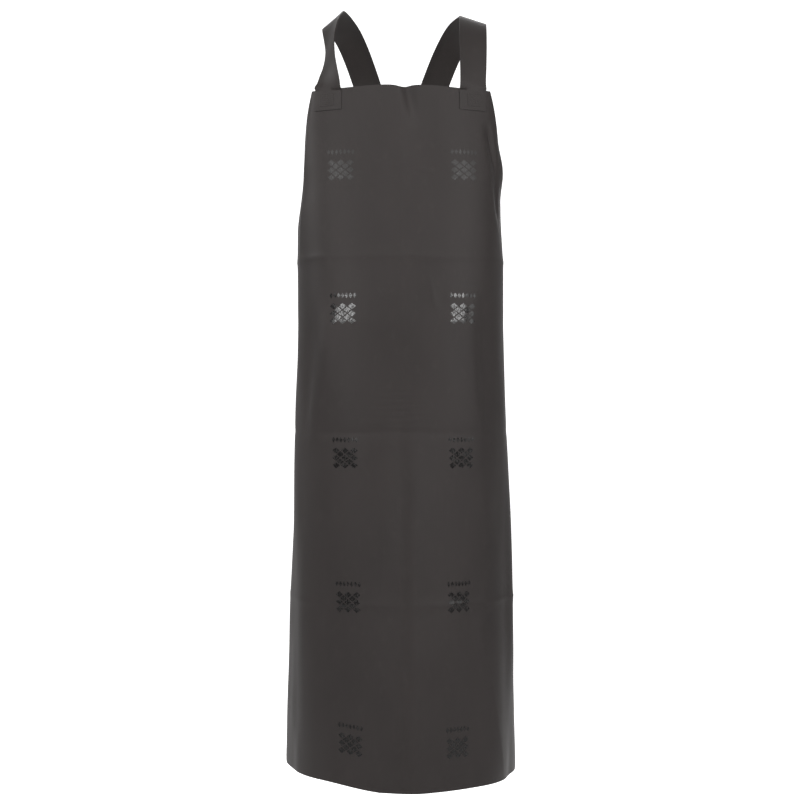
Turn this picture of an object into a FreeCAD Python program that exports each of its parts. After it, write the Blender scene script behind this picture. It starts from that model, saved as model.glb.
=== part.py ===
"""Cross-back butcher apron in rubberised film, in the shape it takes when it is worn.

Millimetres, +Z up. The front of the apron faces -Y and the wearer's left is +X. The origin is midway
between the two places where the straps rest on the wearer's shoulders.

One film panel makes the bib and the skirt. A wide film strap is welded to each top corner of the bib,
with a backing patch behind the weld. The straps go over the shoulders, cross on the back and end at the
opposite side of the waist. There each strap loops round the bar of a buckle plug and comes back to a
three-bar adjuster, and the plug clips into a socket that a film tab holds at the corner of the panel.
"""
import FreeCAD
import Part
import math
import os

V = FreeCAD.Vector

# The film
FILM = 0.8                  # thickness of the panel
STRAP_FILM = 1.2            # thickness of the straps and tabs, two layers welded together
STRAP_WIDTH = 50.0
GAP = 0.3                   # air left between pieces that only touch
WELD_AIR = 0.20             # air left at a weld
WELD_LIFT = 0.8             # air under the middle of a strap that lies on the curved panel

# The panel, flat: t runs down from the top edge and s sideways from the centre line
PANEL_LENGTH = 1200.0
BIB_HALF_WIDTH = 162.0
SKIRT_HALF_WIDTH = 360.0
WAIST_AT = 400.0            # t of the waist corner, where the arm cut-out ends
ARM_CUT_HOLLOW = 0.15       # share of the arm cut-out that is curved, the rest is straight
HEM_CORNER_RADIUS = 45.0

# The panel, worn: at each height it follows half an oval in front and a flatter half ellipse behind
TOP_EDGE_Z = -141.0
HALF_WIDTH_BIB, HALF_WIDTH_HEM = 182.0, 207.0
FRONT_DEPTH_TOP, FRONT_DEPTH_WAIST, FRONT_DEPTH_HEM = 95.0, 150.0, 255.0
CENTRE_Y_TOP, CENTRE_Y_WAIST, CENTRE_Y_HEM = -30.0, 0.0, 97.0
FLATNESS_TOP, FLATNESS_WAIST, FLATNESS_HEM = 0.42, 0.34, 0.02       # 0 is an ellipse, 0.5 flat
BACK_DEPTH = 110.0

# The straps
WELD_LENGTH = 36.0          # overlap of the strap on the bib
PATCH_MARGIN = 4.0          # how far a backing patch reaches past the weld
SHOULDER_X = {1: 128.0, -1: 118.0}              # the right strap sits a little nearer the neck
STRAP_X_AT_BIB = 125.0
ARCH_FRONT_DEPTH, ARCH_BACK_DEPTH = 114.0, 122.0    # of the arch over the shoulder, seen from the side
ARCH_HEIGHT = 146.0
ARCH_END_X = 45.0           # where the arch ends on the back
SHOULDER_SLOPE = 26.0       # degrees
SECTION_SPACING = 8.0       # along a strap, between the sections that shape it
CROSSING = V(0, 134, -225)
CROSSING_LIFT = 5.0         # the left strap passes this far outside the right one
# Stations of the arch, in degrees round it, and how far the right strap is twisted at each
STRAP_TWISTS = ((-84, 9.0), (-77, 24.0), (-70, 36.0), (-62, 43.0), (-52, 44.0), (-38, 36.0),
                (-20, 26.0), (0, 17.0), (22, 7.0), (45, 0.0), (68, 0.0))

# The buckle line: z along the strap from the mouth of the socket, y out from the wearer, x across
TAB_FOOT_AT = (350.0, 378.0)                    # flat place (s, t) where the tab leaves the panel
TAB_FOOT_LENGTH = 66.0
TAB_FOOT_LEAN = 25.0                            # degrees from upright, in the flat panel
MOUTH_FROM_FOOT = 60.0
RUN_NORMAL = V(0.40, 0.92, 0)
BAR_RADIUS = 2.2
LOOP_RADIUS = BAR_RADIUS + GAP + STRAP_FILM / 2     # of the middle of the film round a bar
BUCKLE_HALF_WIDTH, BUCKLE_HALF_DEPTH = 31.0, 5.5
RAIL_INSIDE = STRAP_WIDTH / 2 + 1.0             # half the width that a strap has between two rails
RAIL_HALF_DEPTH = 4.0
EDGE_RADIUS = 2.5
SOCKET_BACK_Z, SOCKET_BAR_Z = -34.0, -40.0
CAVITY_HALF_WIDTH, CAVITY_HALF_DEPTH, CAVITY_END_Z = 24.0, 3.3, -30.0
WINDOW_START_Z, WINDOW_END_Z = -23.0, -8.0      # the side windows that the prongs' barbs catch in
PLUG_FACE_Z, PLUG_BACK_Z, PLUG_BAR_Z = 0.4, 14.0, 20.0
TONGUE_HALF_WIDTH, TONGUE_END_Z = 6.0, -27.0
PRONG_HALF_DEPTH = 2.6
PRONG_INSIDE, PRONG_OUTSIDE, BARB_OUTSIDE = 16.5, 20.5, 29.0
BARB_SHOULDER_Z, BARB_POINT_Z, PRONG_END_Z = -9.0, -20.0, -25.0
GROOVE_WIDTH, GROOVE_DEPTH = 1.6, 0.7           # finger grooves across the plug's head
GROOVE_STARTS_Z = (3.0, 6.4, 9.8)
RECESS_HALF_WIDTH, RECESS_DEPTH = 15.0, 0.6     # shallow thumb recess in each face of the socket
RECESS_START_Z, RECESS_END_Z = -27.0, -7.0

# The strap's straight run through the adjuster
RUN_Y = -LOOP_RADIUS
RUN_START, RUN_END = 62.0, 185.0
ADJUSTER_Z, ADJUSTER_HALF_LENGTH = 138.0, 17.0
OUTER_BAR_RADIUS = 1.7
OUTER_BAR_Y = RUN_Y - STRAP_FILM / 2 - GAP - OUTER_BAR_RADIUS
CENTRE_BAR_RADIUS = 2.0
CENTRE_LOOP_RADIUS = CENTRE_BAR_RADIUS + GAP + STRAP_FILM / 2
CENTRE_BAR_Y = RUN_Y + STRAP_FILM + GAP + CENTRE_LOOP_RADIUS
ADJUSTER_BACK_Y, ADJUSTER_FRONT_Y = OUTER_BAR_Y - OUTER_BAR_RADIUS, CENTRE_BAR_Y + CENTRE_BAR_RADIUS

SIDES = {"left": 1, "right": -1}                # the wearer's left is +X


def unit(v):
    return v * (1 / v.Length)


def between(a, b, share):
    return a + (b - a) * share


# ---- the worn surface of the panel ----

def section_shape(t):
    """Half-width, front depth, centre y and flatness of the panel at a distance t below its top edge."""
    if t <= WAIST_AT:
        k = t / WAIST_AT
        return (HALF_WIDTH_BIB, between(FRONT_DEPTH_TOP, FRONT_DEPTH_WAIST, k),
                between(CENTRE_Y_TOP, CENTRE_Y_WAIST, k), between(FLATNESS_TOP, FLATNESS_WAIST, k))
    k = (t - WAIST_AT) / (PANEL_LENGTH - WAIST_AT)
    return (between(HALF_WIDTH_BIB, HALF_WIDTH_HEM, k), between(FRONT_DEPTH_WAIST, FRONT_DEPTH_HEM, k),
            between(CENTRE_Y_WAIST, CENTRE_Y_HEM, k), between(FLATNESS_WAIST, FLATNESS_HEM, k))


def half_span(t):
    """Half the flat width of the panel at t."""
    if t < WAIST_AT:
        k = t / WAIST_AT
        return between(BIB_HALF_WIDTH, SKIRT_HALF_WIDTH, between(k, k * k, ARM_CUT_HOLLOW))
    below = max(0.0, t - (PANEL_LENGTH - HEM_CORNER_RADIUS))
    return SKIRT_HALF_WIDTH - HEM_CORNER_RADIUS + math.sqrt(max(0.0, HEM_CORNER_RADIUS**2 - below**2))


def section_place(angle, shape):
    """The x and y of a section at an angle round it from the front."""
    half_width, front_depth, centre_y, flatness = shape
    across, down = math.sin(angle), math.cos(angle)
    depth = front_depth * (1 + flatness * across**2) if down > 0 else BACK_DEPTH
    return half_width * across, centre_y - depth * down


def section_stride(angle, shape):
    """How x and y of a section change with the angle."""
    half_width, front_depth, centre_y, flatness = shape
    across, down = math.sin(angle), math.cos(angle)
    depth = front_depth * (1 + flatness * (across**2 - 2 * down**2)) if down > 0 else BACK_DEPTH
    return half_width * down, depth * across


def angle_at(length, shape):
    """The angle that lies a given length along a section from the front."""
    step, angle, gone = math.radians(0.25), 0.0, 0.0
    while True:
        stride = step * math.hypot(*section_stride(angle + step / 2, shape))
        if gone + stride >= length:
            return angle + step * (length - gone) / stride
        gone += stride
        angle += step


def panel_point(s, t, height=0.0):
    """The point of the worn panel at flat place (s, t), a height outside its middle surface."""
    shape = section_shape(t)
    angle = math.copysign(angle_at(abs(s), shape), s)
    x, y = section_place(angle, shape)
    along_x, along_y = section_stride(angle, shape)
    return V(x, y, TOP_EDGE_Z - t) + unit(V(along_y, -along_x, 0)) * height


def curve_edge(points):
    curve = Part.BSplineCurve()
    curve.interpolate(points)
    return curve.toShape()


def panel_section(t, low, high, from_s, to_s):
    """A closed outline across the panel at t, between two heights from its middle surface."""
    steps = 20
    spans = [between(from_s, to_s, k / steps) for k in range(steps + 1)]
    outside = [panel_point(s, t, high) for s in spans]
    inside = [panel_point(s, t, low) for s in spans]
    return Part.Wire([curve_edge(outside), Part.makeLine(outside[-1], inside[-1]),
                      curve_edge(inside[::-1]), Part.makeLine(inside[0], outside[0])])


def panel_layer(rows, low, high, span):
    """A layer that follows the panel through rows of t, where span gives its edges in s at each t."""
    return Part.makeLoft([panel_section(t, low, high, *span(t)) for t in rows], True, False)


def apron_panel():
    def whole_width(t):
        return -half_span(t), half_span(t)

    corner_at = PANEL_LENGTH - HEM_CORNER_RADIUS
    bib_rows = [WAIST_AT * k / 5 for k in range(6)]
    skirt_rows = [between(WAIST_AT, corner_at, k / 8) for k in range(9)]
    corner_rows = [corner_at + HEM_CORNER_RADIUS * math.sin(math.radians(a)) for a in (0, 30, 55, 75, 90)]
    layers = [panel_layer(rows, -FILM / 2, FILM / 2, whole_width)
              for rows in (bib_rows, skirt_rows, corner_rows)]
    return layers[0].fuse(layers[1:])


def strap_flat_s():
    """The flat place across the bib that lies at the strap's x."""
    s = 0.0
    while panel_point(s, 0).x < STRAP_X_AT_BIB:
        s += 0.5
    return s


def backing_patch(middle_s, top, bottom):
    """A patch on the inside of the panel, behind a weld."""
    half_width = STRAP_WIDTH / 2 + PATCH_MARGIN
    rows = [between(top, bottom, k / 2) for k in range(3)]
    return panel_layer(rows, -FILM * 1.5 - WELD_AIR, -FILM / 2 - WELD_AIR,
                       lambda t: (middle_s - half_width, middle_s + half_width))


# ---- film straps and tabs ----

def cross_section(centre, travel, normal):
    """A rectangle across a strap, square to its travel."""
    across = unit(travel.cross(normal)) * (STRAP_WIDTH / 2)
    out = unit(across.cross(travel)) * (STRAP_FILM / 2)
    corners = [centre - across - out, centre + across - out, centre + across + out, centre - across + out]
    return Part.makePolygon(corners + corners[:1])


def ribbon(stations, final_travel):
    """A strap that runs smoothly through stations of (centre, normal)."""
    path = Part.BSplineCurve()
    path.interpolate(Points=[centre for centre, normal in stations],
                     InitialTangent=stations[1][0] - stations[0][0], FinalTangent=final_travel)
    wires = []
    for (start, start_normal), (end, end_normal) in zip(stations, stations[1:]):
        begins, ends = path.parameter(start), path.parameter(end)
        steps = max(1, round((end - start).Length / SECTION_SPACING))
        for k in range(0 if not wires else 1, steps + 1):
            at = between(begins, ends, k / steps)
            travel = V(*path.tangent(at)[0])
            normal = between(start_normal, end_normal, k / steps)
            wires.append(cross_section(path.value(at), travel, normal))
    return Part.makeLoft(wires, True, False)


def weld_stations(flat_places):
    """Stations of film that lies on the outside of the panel."""
    lift = FILM / 2 + WELD_LIFT + STRAP_FILM / 2
    feet = [panel_point(s, t, lift) for s, t in flat_places]
    heads = [panel_point(s, t, lift + 1) for s, t in flat_places]
    return [(foot, head - foot) for foot, head in zip(feet, heads)]


def tab_weld_stations(side):
    """The foot of a side tab, from its lower end up to where it leaves the panel."""
    lean = math.radians(TAB_FOOT_LEAN)
    s, t = TAB_FOOT_AT
    return weld_stations([(side * (s - down * math.sin(lean)), t + down * math.cos(lean))
                          for down in (TAB_FOOT_LENGTH, TAB_FOOT_LENGTH / 2, 0.0)])


def buckle_frame(side):
    """The placement of the buckle line at one side of the waist."""
    foot = tab_weld_stations(side)[-1][0]
    up = unit(CROSSING - foot)
    normal = V(side * RUN_NORMAL.x, RUN_NORMAL.y, 0)
    out = unit(normal - up * normal.dot(up))
    across = out.cross(up)
    origin = foot + up * MOUTH_FROM_FOOT
    return FreeCAD.Placement(FreeCAD.Matrix(across.x, out.x, up.x, origin.x,
                                            across.y, out.y, up.y, origin.y,
                                            across.z, out.z, up.z, origin.z,
                                            0, 0, 0, 1))


def placed(shape, side):
    """A shape made on the buckle line, moved to one side of the waist."""
    return shape.transformed(buckle_frame(side).toMatrix())


def arch_station(side, degrees, twist):
    """A station of the arch over the shoulder: -90 is at the bib, 0 on top and 90 on the back."""
    a = math.radians(degrees)
    depth = ARCH_BACK_DEPTH if degrees > 0 else ARCH_FRONT_DEPTH
    end_x = ARCH_END_X if degrees > 0 else STRAP_X_AT_BIB
    x = between(SHOULDER_X[side], end_x, abs(degrees) / 90)
    centre = V(side * x, depth * math.sin(a), ARCH_HEIGHT * (math.cos(a) - 1))
    slope = math.radians(SHOULDER_SLOPE) * (1 - max(0.0, degrees / 90))
    upright = unit(V(0, math.sin(a) / depth, math.cos(a) / ARCH_HEIGHT))
    normal = upright * math.cos(slope) + V(side * math.sin(slope), 0, 0)
    travel = V(0, math.cos(a) * depth, -math.sin(a) * ARCH_HEIGHT)
    return centre, FreeCAD.Rotation(travel, side * twist).multVec(normal)


def shoulder_strap(side):
    """The strap of one shoulder, from its weld on the bib to the straight run on the other side."""
    s = side * strap_flat_s()
    stations = weld_stations([(s, t) for t in (WELD_LENGTH, WELD_LENGTH / 2, 0.0)])
    for degrees, twist in STRAP_TWISTS:
        stations.append(arch_station(side, degrees, twist if side < 0 else 0.0))
    frame = buckle_frame(-side)
    run_top = frame.multVec(V(0, RUN_Y, RUN_END))
    lift = V(0, CROSSING_LIFT if side > 0 else 0, 0)
    across_back = (arch_station(side, 90, 0.0)[0], CROSSING, between(CROSSING, run_top, 0.6))
    stations += [(centre + lift, V(0, 1, 0)) for centre in across_back]
    stations.append((run_top, frame.Rotation.multVec(V(0, 1, 0))))
    run = placed(film_run(RUN_Y, RUN_START, RUN_END), -side)
    return ribbon(stations, frame.Rotation.multVec(V(0, 0, -1))).fuse(run)


# ---- the buckle and the adjuster, made on the buckle line ----

def block(half_width, y_range, z_range):
    """A box centred across the buckle line."""
    return Part.makeBox(2 * half_width, y_range[1] - y_range[0], z_range[1] - z_range[0],
                        V(-half_width, y_range[0], z_range[0]))


def rounded_block(half_width, y_range, z_range):
    """A block with its edges along the strap rounded."""
    plain = block(half_width, y_range, z_range)
    edges = [e for e in plain.Edges if abs(e.tangentAt(e.FirstParameter).z) > 0.9]
    return plain.makeFillet(EDGE_RADIUS, edges)


def across_bar(y, z, radius, half_length):
    return Part.makeCylinder(radius, 2 * half_length, V(-half_length, y, z), V(1, 0, 0))


def film_run(y, from_z, to_z):
    """A straight length of strap along the buckle line."""
    return block(STRAP_WIDTH / 2, (y - STRAP_FILM / 2, y + STRAP_FILM / 2), (from_z, to_z))


def film_ring(y, z, radius):
    """Film wrapped round a bar."""
    ring = across_bar(y, z, radius + STRAP_FILM / 2, STRAP_WIDTH / 2)
    return ring.cut(across_bar(y, z, radius - STRAP_FILM / 2, STRAP_WIDTH / 2))


def bar_end(body_z, bar_z):
    """Two rails and the bar between them, at the back of a buckle half."""
    reach = bar_z + math.copysign(BAR_RADIUS, bar_z)
    span = (min(body_z, reach), max(body_z, reach))
    rails = rounded_block(BUCKLE_HALF_WIDTH, (-RAIL_HALF_DEPTH, RAIL_HALF_DEPTH), span)
    gap = block(RAIL_INSIDE, (-RAIL_HALF_DEPTH, RAIL_HALF_DEPTH), span)
    return rails.cut(gap).fuse(across_bar(0, bar_z, BAR_RADIUS, RAIL_INSIDE + 1))


def face_cuts(half_width, depth, z_range):
    """The same shallow cut in the front and the back face of a buckle half."""
    front = block(half_width, (BUCKLE_HALF_DEPTH - depth, BUCKLE_HALF_DEPTH + 1), z_range)
    return [front, front.mirror(V(0, 0, 0), V(0, 1, 0))]


def buckle_socket():
    shell = rounded_block(BUCKLE_HALF_WIDTH, (-BUCKLE_HALF_DEPTH, BUCKLE_HALF_DEPTH), (SOCKET_BACK_Z, 0))
    depth = (-CAVITY_HALF_DEPTH, CAVITY_HALF_DEPTH)
    cavity = block(CAVITY_HALF_WIDTH, depth, (CAVITY_END_Z, 1))
    windows = block(BUCKLE_HALF_WIDTH + 1, depth, (WINDOW_START_Z, WINDOW_END_Z))
    cuts = [cavity, windows] + face_cuts(RECESS_HALF_WIDTH, RECESS_DEPTH, (RECESS_START_Z, RECESS_END_Z))
    return shell.cut(cuts).fuse(bar_end(SOCKET_BACK_Z, SOCKET_BAR_Z))


def buckle_plug():
    depth = (-BUCKLE_HALF_DEPTH, BUCKLE_HALF_DEPTH)
    head = rounded_block(BUCKLE_HALF_WIDTH, depth, (PLUG_FACE_Z, PLUG_BACK_Z))
    for z in GROOVE_STARTS_Z:
        head = head.cut(face_cuts(BUCKLE_HALF_WIDTH + 1, GROOVE_DEPTH, (z, z + GROOVE_WIDTH)))
    tongue = block(TONGUE_HALF_WIDTH, (-PRONG_HALF_DEPTH, PRONG_HALF_DEPTH), (TONGUE_END_Z, PLUG_FACE_Z))
    return head.fuse([tongue, bar_end(PLUG_BACK_Z, PLUG_BAR_Z)])


def plug_prong(sense):
    """One springy prong of the plug, with the barb that the socket's window holds."""
    outline = [(PRONG_INSIDE, PLUG_FACE_Z), (PRONG_OUTSIDE, PLUG_FACE_Z), (PRONG_OUTSIDE, BARB_SHOULDER_Z),
               (BARB_OUTSIDE, BARB_SHOULDER_Z), (BARB_OUTSIDE - 1, BARB_POINT_Z + 4),
               (PRONG_OUTSIDE + 1, PRONG_END_Z + 0.5), (PRONG_OUTSIDE - 1, PRONG_END_Z),
               (PRONG_INSIDE, PRONG_END_Z)]
    corners = [V(sense * x, -PRONG_HALF_DEPTH, z) for x, z in outline]
    face = Part.Face(Part.makePolygon(corners + corners[:1]))
    return face.extrude(V(0, 2 * PRONG_HALF_DEPTH, 0))


def plug_prongs():
    return Part.makeCompound([plug_prong(1), plug_prong(-1)])


def three_bar_adjuster():
    span = (ADJUSTER_Z - ADJUSTER_HALF_LENGTH, ADJUSTER_Z + ADJUSTER_HALF_LENGTH)
    depth = (ADJUSTER_BACK_Y, ADJUSTER_FRONT_Y)
    frame = rounded_block(BUCKLE_HALF_WIDTH, depth, span).cut(block(RAIL_INSIDE, depth, span))
    bars = [across_bar(OUTER_BAR_Y, z, OUTER_BAR_RADIUS, RAIL_INSIDE + 1)
            for z in (span[0] + OUTER_BAR_RADIUS, span[1] - OUTER_BAR_RADIUS)]
    bars.append(across_bar(CENTRE_BAR_Y, ADJUSTER_Z, CENTRE_BAR_RADIUS, RAIL_INSIDE + 1))
    return frame.fuse(bars)


def strap_loop():
    """The end of a strap: down to the plug's bar, round it, and back up to the adjuster's centre bar."""
    down = film_run(RUN_Y, PLUG_BAR_Z, RUN_START)
    below_bar = block(STRAP_WIDTH, (-10, 10), (PLUG_BAR_Z - 10, PLUG_BAR_Z))
    turn = film_ring(0, PLUG_BAR_Z, LOOP_RADIUS).common(below_bar)
    rise = CENTRE_BAR_Y + CENTRE_LOOP_RADIUS - LOOP_RADIUS
    length = ADJUSTER_Z - PLUG_BAR_Z
    corners = [V(-STRAP_WIDTH / 2, LOOP_RADIUS + y, PLUG_BAR_Z + z)
               for y, z in ((-STRAP_FILM / 2, 0), (STRAP_FILM / 2, 0),
                            (rise + STRAP_FILM / 2, length), (rise - STRAP_FILM / 2, length))]
    back = Part.Face(Part.makePolygon(corners + corners[:1])).extrude(V(STRAP_WIDTH, 0, 0))
    return down.fuse([turn, back, film_ring(CENTRE_BAR_Y, ADJUSTER_Z, CENTRE_LOOP_RADIUS)])


def side_tab(side):
    """The film tab that holds a socket: welded on the panel, and doubled round the socket's bar."""
    frame = buckle_frame(side)
    normal = frame.Rotation.multVec(V(0, 1, 0))
    stations = tab_weld_stations(side)
    stations.append((frame.multVec(V(0, 0, SOCKET_BAR_Z - LOOP_RADIUS)), normal))
    foot = ribbon(stations, frame.Rotation.multVec(V(0, 0, 1)))
    return foot.fuse(placed(film_ring(0, SOCKET_BAR_Z, LOOP_RADIUS), side))


def all_nodes():
    nodes = {"apron_panel": apron_panel()}
    foot_s, foot_t = TAB_FOOT_AT
    foot_end_t = foot_t + TAB_FOOT_LENGTH
    for name, side in SIDES.items():
        nodes[name + "_shoulder_strap"] = shoulder_strap(side)
        nodes[name + "_bib_patch"] = backing_patch(side * strap_flat_s(), PATCH_MARGIN / 2,
                                                   WELD_LENGTH + PATCH_MARGIN)
        nodes[name + "_side_tab"] = side_tab(side)
        nodes[name + "_waist_patch"] = backing_patch(side * (foot_s - STRAP_WIDTH / 2),
                                                     WAIST_AT + PATCH_MARGIN, foot_end_t + PATCH_MARGIN)
        nodes[name + "_buckle_socket"] = placed(buckle_socket(), side)
        nodes[name + "_buckle_plug"] = placed(buckle_plug(), side)
        nodes[name + "_plug_prongs"] = placed(plug_prongs(), side)
        nodes[name + "_strap_loop"] = placed(strap_loop(), side)
        nodes[name + "_adjuster"] = placed(three_bar_adjuster(), side)
    return nodes


os.makedirs("parts", exist_ok=True)
for node, solid in all_nodes().items():
    solid.exportStep("parts/" + node + ".step")
for name, side in SIDES.items():
    line = buckle_frame(side)
    print(name, "buckle line: mouth", line.Base, "along", line.Rotation.multVec(V(0, 0, 1)))
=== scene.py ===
"""Looks of the butcher apron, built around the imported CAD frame. Metres, +Z up, front towards -Y."""
import math

import bpy
import numpy as np
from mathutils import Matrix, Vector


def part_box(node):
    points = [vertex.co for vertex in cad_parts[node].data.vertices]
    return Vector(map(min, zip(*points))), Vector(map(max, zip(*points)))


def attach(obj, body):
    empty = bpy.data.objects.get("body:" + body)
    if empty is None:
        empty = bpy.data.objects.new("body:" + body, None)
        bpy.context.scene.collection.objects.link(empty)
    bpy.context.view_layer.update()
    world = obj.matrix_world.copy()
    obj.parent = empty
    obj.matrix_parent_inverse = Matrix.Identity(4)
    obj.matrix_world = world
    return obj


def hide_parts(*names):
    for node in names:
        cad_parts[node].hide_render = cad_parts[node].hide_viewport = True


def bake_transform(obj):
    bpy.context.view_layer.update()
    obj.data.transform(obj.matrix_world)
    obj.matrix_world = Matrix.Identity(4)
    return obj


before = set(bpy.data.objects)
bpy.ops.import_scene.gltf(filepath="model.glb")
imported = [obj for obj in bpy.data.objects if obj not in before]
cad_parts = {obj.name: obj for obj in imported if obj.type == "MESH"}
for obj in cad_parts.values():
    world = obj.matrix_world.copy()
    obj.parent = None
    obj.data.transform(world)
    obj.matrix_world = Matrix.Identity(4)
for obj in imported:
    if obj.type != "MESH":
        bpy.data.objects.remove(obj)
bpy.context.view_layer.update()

# ---- driving sizes: the flat panel and its worn shape, as in the CAD model ----
PANEL_LOW, PANEL_HIGH = (np.array(corner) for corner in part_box("apron_panel"))
TOP_EDGE_Z = PANEL_HIGH[2]
PANEL_LENGTH = PANEL_HIGH[2] - PANEL_LOW[2]
BIB_HALF_WIDTH, SKIRT_HALF_WIDTH, WAIST_AT = 0.162, 0.360, 0.400
ARM_CUT_HOLLOW, HEM_CORNER_RADIUS = 0.15, 0.045
HALF_WIDTH_BIB, HALF_WIDTH_HEM = 0.182, 0.207
FRONT_DEPTH_TOP, FRONT_DEPTH_WAIST, FRONT_DEPTH_HEM = 0.095, 0.150, 0.255
CENTRE_Y_TOP, CENTRE_Y_WAIST, CENTRE_Y_HEM = -0.030, 0.0, 0.097
FLATNESS_TOP, FLATNESS_WAIST, FLATNESS_HEM = 0.42, 0.34, 0.02
BACK_DEPTH = 0.110

# the film, a little thicker than in the CAD model
FILM, STRAP_FILM, STRAP_WIDTH = 0.0010, 0.0014, 0.050
LOOP_FILM = 0.86 * STRAP_FILM       # where the strap goes round a bar, so that it keeps clear of it
WELD_LIFT = FILM / 2 + STRAP_FILM / 2 + 0.0001
TAB_LIFT = WELD_LIFT + 0.0003

# the straps
WELD_LENGTH, STRAP_X_AT_BIB = 0.036, 0.125
SHOULDER_X = {1: 0.128, -1: 0.118}
ARCH_FRONT_DEPTH, ARCH_BACK_DEPTH, ARCH_HEIGHT = 0.114, 0.122, 0.146
ARCH_END_X, SHOULDER_SLOPE = 0.045, 26.0
# degrees round the arch over the shoulder, and how far each strap is twisted there
STRAP_TWISTS = {
    1: ((-84, 0.0), (-70, -3.0), (-54, -7.0), (-36, -9.0), (-18, -9.0), (0, -8.0), (22, -6.0),
        (45, -3.0), (68, 0.0)),
    -1: ((-84, 9.0), (-77, 24.0), (-70, 36.0), (-62, 43.0), (-52, 44.0), (-40, 35.0), (-26, 22.0),
         (-8, 12.0), (10, 5.0), (28, 0.0), (45, 0.0), (68, 0.0))}
CROSSING = np.array((0, 0.134, -0.225))
CROSSING_LIFT = 0.005

# the buckle line
TAB_FOOT_AT, TAB_FOOT_LENGTH, TAB_FOOT_LEAN = (0.350, 0.378), 0.066, 25.0
MOUTH_FROM_FOOT = 0.060
RUN_NORMAL = np.array((0.40, 0.92, 0))
BAR_RADIUS, BAR_AIR = 0.0022, 0.0003
SOCKET_BAR_Z, PLUG_BAR_Z, ADJUSTER_Z, RUN_END = -0.040, 0.020, 0.138, 0.185
CAD_FILM, CAD_WELD_LIFT, CAD_STRAP_FILM = 0.0008, 0.0008, 0.0012
LOOP_RADIUS = BAR_RADIUS + BAR_AIR + CAD_STRAP_FILM / 2
CENTRE_BAR_RADIUS = 0.0020
CENTRE_LOOP_RADIUS = CENTRE_BAR_RADIUS + BAR_AIR + CAD_STRAP_FILM / 2
CENTRE_BAR_Y = -LOOP_RADIUS + CAD_STRAP_FILM + BAR_AIR + CENTRE_LOOP_RADIUS
LOOSE_RUN_START = 0.110     # above this the strap never moves with the plug
# heights on the buckle line that the strap's straight run goes through, from the top down
RUN_KNOTS = (RUN_END + 0.008, RUN_END + 0.002, 0.178, 0.160, 0.135, LOOSE_RUN_START)
RETURN_SPLIT_Z = 0.085      # the return strap follows the plug below this and the adjuster above

SIDES = {"left": 1, "right": -1}


def between(a, b, share):
    return a + (b - a) * share


def unit(v):
    return v / np.linalg.norm(v, axis=-1, keepdims=True)


def smooth(x, low, high):
    """0 below low, 1 above high, and an S-curve between."""
    k = np.clip((x - low) / (high - low), 0, 1)
    return k * k * (3 - 2 * k)


# ---- the worn surface ----

def section_shape(t):
    """Half-width, front depth, centre y and flatness of the panel at a distance t below its top edge."""
    if t <= WAIST_AT:
        k = t / WAIST_AT
        return (HALF_WIDTH_BIB, between(FRONT_DEPTH_TOP, FRONT_DEPTH_WAIST, k),
                between(CENTRE_Y_TOP, CENTRE_Y_WAIST, k), between(FLATNESS_TOP, FLATNESS_WAIST, k))
    k = (t - WAIST_AT) / (PANEL_LENGTH - WAIST_AT)
    return (between(HALF_WIDTH_BIB, HALF_WIDTH_HEM, k), between(FRONT_DEPTH_WAIST, FRONT_DEPTH_HEM, k),
            between(CENTRE_Y_WAIST, CENTRE_Y_HEM, k), between(FLATNESS_WAIST, FLATNESS_HEM, k))


def half_span(t):
    """Half the flat width of the panel at a distance t below its top edge."""
    if t < WAIST_AT:
        k = t / WAIST_AT
        return between(BIB_HALF_WIDTH, SKIRT_HALF_WIDTH, between(k, k * k, ARM_CUT_HOLLOW))
    below = max(0.0, t - (PANEL_LENGTH - HEM_CORNER_RADIUS))
    return SKIRT_HALF_WIDTH - HEM_CORNER_RADIUS + math.sqrt(max(0.0, HEM_CORNER_RADIUS**2 - below**2))


ANGLES = np.radians(np.arange(0, 171, 0.5))


def section_curve(angle, shape):
    """Places (x, y) round a section and how they change with the angle, both as rows."""
    half_width, front_depth, centre_y, flatness = shape
    across, down = np.sin(angle), np.cos(angle)
    front = down > 0
    depth = np.where(front, front_depth * (1 + flatness * across**2), BACK_DEPTH)
    slope = np.where(front, front_depth * (1 + flatness * (across**2 - 2 * down**2)), BACK_DEPTH)
    place = np.stack([half_width * across, centre_y - depth * down], axis=-1)
    return place, np.stack([half_width * down, slope * across], axis=-1)


def worn_row(s, t, lift=0.0, folded=True):
    """Points of the worn panel at flat places (s, t) along one row, lifted off its middle surface."""
    shape = section_shape(t)
    middles = (ANGLES[1:] + ANGLES[:-1]) / 2
    strides = np.linalg.norm(section_curve(middles, shape)[1], axis=-1) * np.diff(ANGLES)
    lengths = np.concatenate(([0], np.cumsum(strides)))
    s = np.asarray(s, float)
    angle = np.copysign(np.interp(np.abs(s), lengths, ANGLES), s)
    place, along = section_curve(angle, shape)
    out = unit(np.stack([along[:, 1], -along[:, 0]], axis=-1))
    height = np.reshape(lift + (fold_height(s, t) if folded else 0.0), (-1, 1))
    rise = hem_rise(s, t) if folded else np.zeros_like(s)
    return np.column_stack([place + out * height, TOP_EDGE_Z - t + rise])


def worn_point(s, t, lift=0.0, folded=False):
    """The point of the worn panel at one flat place, without its folds unless folded is true."""
    return worn_row([s], t, lift, folded)[0]


# ---- folds of the film, as heights over its worn surface ----

NOISE_GRID = np.random.RandomState(7).rand(64, 64) * 2 - 1


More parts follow.
